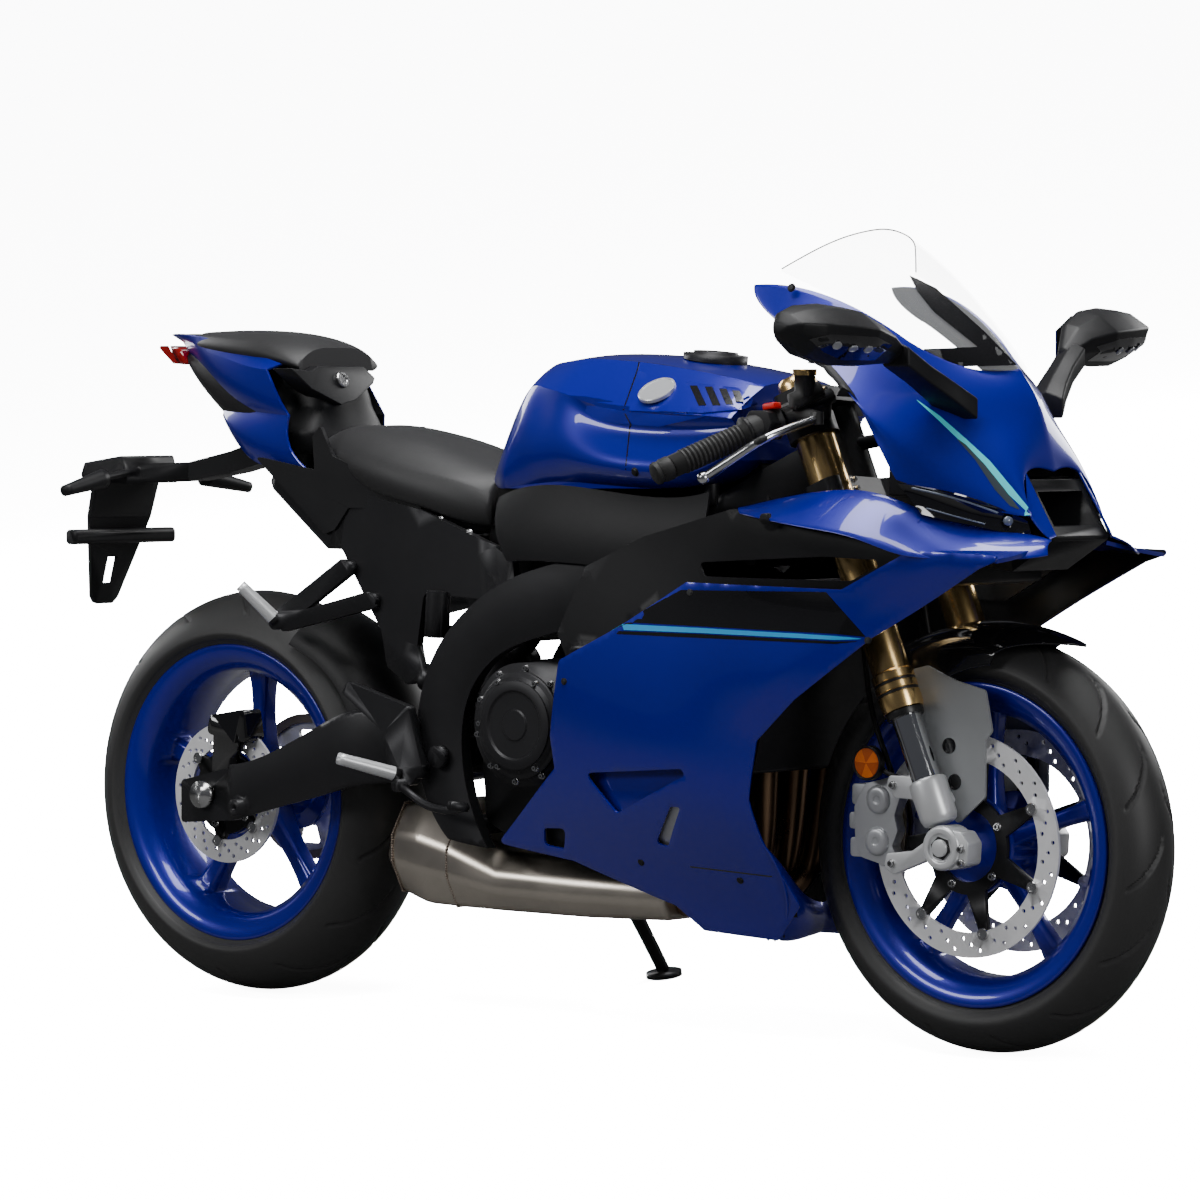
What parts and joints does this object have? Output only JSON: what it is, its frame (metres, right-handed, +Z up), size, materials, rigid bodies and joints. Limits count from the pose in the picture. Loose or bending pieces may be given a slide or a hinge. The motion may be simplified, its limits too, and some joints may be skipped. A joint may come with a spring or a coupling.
{
  "type": "sport bike",
  "caption": "Faired sport motorcycle with clip-on bars, cast wheels, winglets and a stepped seat, leaning on its side stand.",
  "frame": {"origin": "on the floor, below the middle of the box round the parked motorcycle", "axes": "+X forward along the wheels, +Y to the rider's left, +Z up from the floor"},
  "size_m": [2.079, 0.8724, 1.1652],
  "materials": {
    "black_plastic": "matte",
    "blue_paint": "gloss",
    "blue_plastic": "gloss",
    "chain_steel": "oiled",
    "clear_screen": "clear",
    "engine_metal": "satin",
    "frame_paint": "satin",
    "gold_metal": "satin",
    "grey_plastic": "satin",
    "grip_rubber": "matte",
    "hard_chrome": "polished",
    "header_steel": "heat tinted",
    "lamp_glass": "smoked",
    "orange_lens": "gloss",
    "red_lens": "gloss",
    "seat_cover": "matte",
    "silver_metal": "satin",
    "stand_paint": "satin",
    "steel": "brushed",
    "tyre_rubber": "matte"
  },
  "bodies": {
    "chassis": {"chain": "chain_steel", "dash": "black_plastic", "engine": "engine_metal", "exhaust_headers": "header_steel", "filler_cap": "frame_paint", "foot_controls_left": "silver_metal", "foot_controls_right": "silver_metal", "fuel_tank": "blue_paint", "headlamps": "lamp_glass", "hugger": "black_plastic", "inner_panels": "black_plastic", "main_frame": "frame_paint", "mirrors": "black_plastic", "muffler": "steel", "nose_intake": "black_plastic", "nose_stay": "frame_paint", "pillion_seat": "seat_cover", "plate_holder": "black_plastic", "radiator": "engine_metal", "rear_axle": "silver_metal", "rear_caliper": "frame_paint", "rear_shock": "steel", "rider_seat": "seat_cover", "side_fairing_left": "blue_plastic", "side_fairing_right": "blue_plastic", "side_stays": "frame_paint", "subframe": "frame_paint", "swingarm": "frame_paint", "tail_cowl": "blue_plastic", "tail_lamp": "red_lens", "tail_lower": "black_plastic", "tank_side_trims": "black_plastic", "upper_cowl": "blue_plastic", "windscreen": "clear_screen", "winglets": "black_plastic"},
    "steering": {"bar_controls": "grip_rubber", "brake_hoses": "black_plastic", "clip_on_bars": "frame_paint", "fender_side_plates": "grey_plastic", "fork_feet": "silver_metal", "fork_inner_tubes": "hard_chrome", "fork_outer_tubes": "gold_metal", "front_calipers": "silver_metal", "front_fender": "blue_plastic", "front_reflectors": "orange_lens", "triple_clamps": "frame_paint"},
    "front_wheel": {"front_rim": "blue_paint", "front_tyre": "tyre_rubber", "front_discs": "steel"},
    "rear_wheel": {"rear_rim": "blue_paint", "rear_tyre": "tyre_rubber", "rear_disc": "steel", "rear_sprocket": "silver_metal"},
    "side_stand": {"side_stand": "stand_paint"}
  },
  "joints": [
    {"name": "steering_turn", "type": "hinge", "parent": "chassis", "child": "steering", "pos_m": [0.49862, -0.03954, 0.79308], "axis": [-0.3843, 0.1603, 0.9092], "range_deg": [-24, 24]},
    {"name": "front_wheel_spin", "type": "hinge", "parent": "steering", "child": "front_wheel", "pos_m": [0.73954, -0.12712, 0.29639], "axis": [0, 0.9848, -0.1736], "continuous": true},
    {"name": "rear_wheel_spin", "type": "hinge", "parent": "chassis", "child": "rear_wheel", "pos_m": [-0.68046, -0.12443, 0.31165], "axis": [0, 0.9848, -0.1736], "continuous": true},
    {"name": "side_stand_fold", "type": "hinge", "parent": "chassis", "child": "side_stand", "pos_m": [-0.08046, -0.0215, 0.21586], "axis": [-0.0774, 0.9945, 0.0702], "range_deg": [0, 95]}
  ]
}
